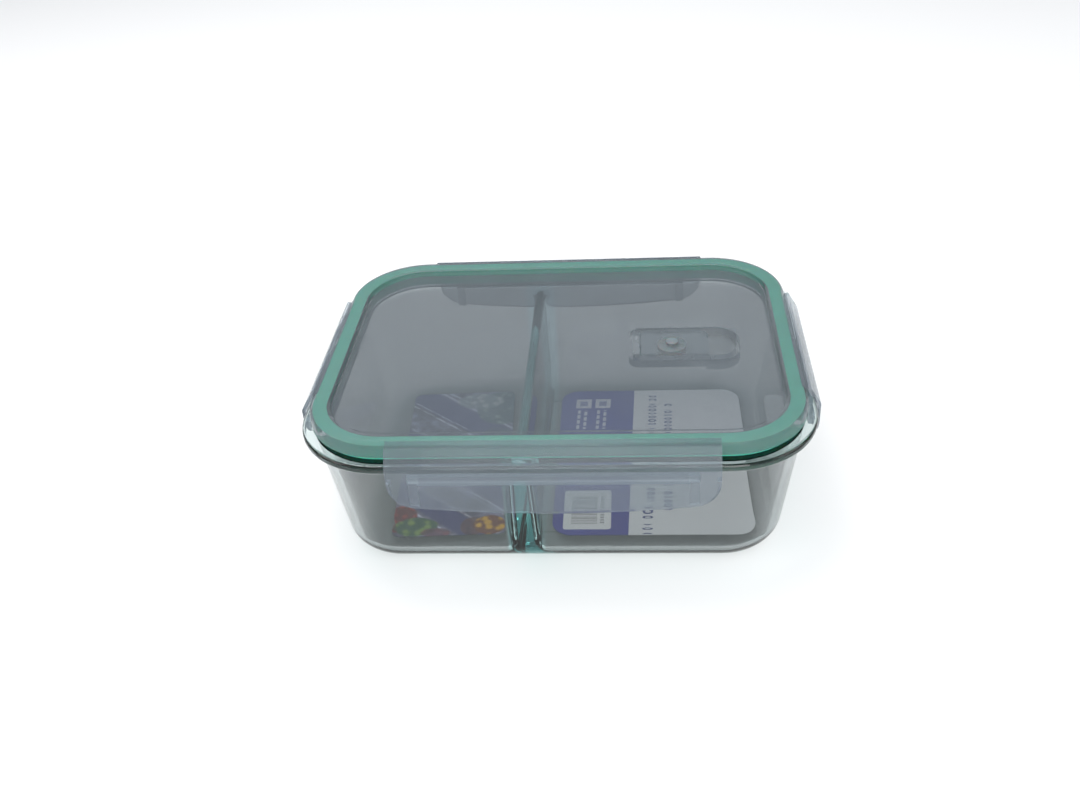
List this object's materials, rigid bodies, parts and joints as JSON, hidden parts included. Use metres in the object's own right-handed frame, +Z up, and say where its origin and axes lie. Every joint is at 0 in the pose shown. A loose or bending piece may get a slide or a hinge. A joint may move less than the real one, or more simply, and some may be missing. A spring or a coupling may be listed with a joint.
{
  "type": "bento lunch box",
  "caption": "Rectangular divided glass food box with a translucent clip-on lid, mint silicone seal, hinged locking flaps and a steam-vent tab.",
  "frame": {"origin": "centre of the flat base", "axes": "+X along the box's length, with the vent on the +X side; -Y is the front; +Z is up"},
  "size_m": [0.227, 0.173, 0.0735],
  "materials": {
    "clear_glass": "pressed clear soda-lime glass, faint green edge",
    "frosted_polypropylene": "translucent natural polypropylene, satin",
    "mint_silicone": "soft matt mint silicone",
    "clear_silicone": "milky translucent silicone",
    "printed_card": "coated paper card, printed panels",
    "label_paper": "white self-adhesive label"
  },
  "bodies": {
    "base": {"glass_base": "clear_glass", "left_card": "printed_card", "right_card": "printed_card", "barcode_sticker": "label_paper"},
    "lid": {"lid_shell": "frosted_polypropylene", "seal_ring": "mint_silicone"},
    "front_latch": {"front_flap": "frosted_polypropylene"},
    "right_latch": {"right_flap": "frosted_polypropylene"},
    "back_latch": {"back_flap": "frosted_polypropylene"},
    "left_latch": {"left_flap": "frosted_polypropylene"},
    "vent": {"vent_flap": "frosted_polypropylene", "vent_plug": "clear_silicone"}
  },
  "joints": [
    {"name": "lid_lift", "type": "slide", "parent": "base", "child": "lid", "axis": [0, 0, 1], "range_m": [0, 0.144]},
    {"name": "front_flap_hinge", "type": "hinge", "parent": "lid", "child": "front_latch", "pos_m": [0, -0.08115, 0.0713], "axis": [-1, 0, 0], "range_deg": [0, 120]},
    {"name": "right_flap_hinge", "type": "hinge", "parent": "lid", "child": "right_latch", "pos_m": [0.10815, 0, 0.0713], "axis": [0, -1, 0], "range_deg": [0, 120]},
    {"name": "back_flap_hinge", "type": "hinge", "parent": "lid", "child": "back_latch", "pos_m": [0, 0.08115, 0.0713], "axis": [1, 0, 0], "range_deg": [0, 120]},
    {"name": "left_flap_hinge", "type": "hinge", "parent": "lid", "child": "left_latch", "pos_m": [-0.10815, 0, 0.0713], "axis": [0, 1, 0], "range_deg": [0, 120]},
    {"name": "vent_tab_hinge", "type": "hinge", "parent": "lid", "child": "vent", "pos_m": [0.0379, 0, 0.0699], "axis": [0, -1, 0], "range_deg": [0, 100]}
  ]
}
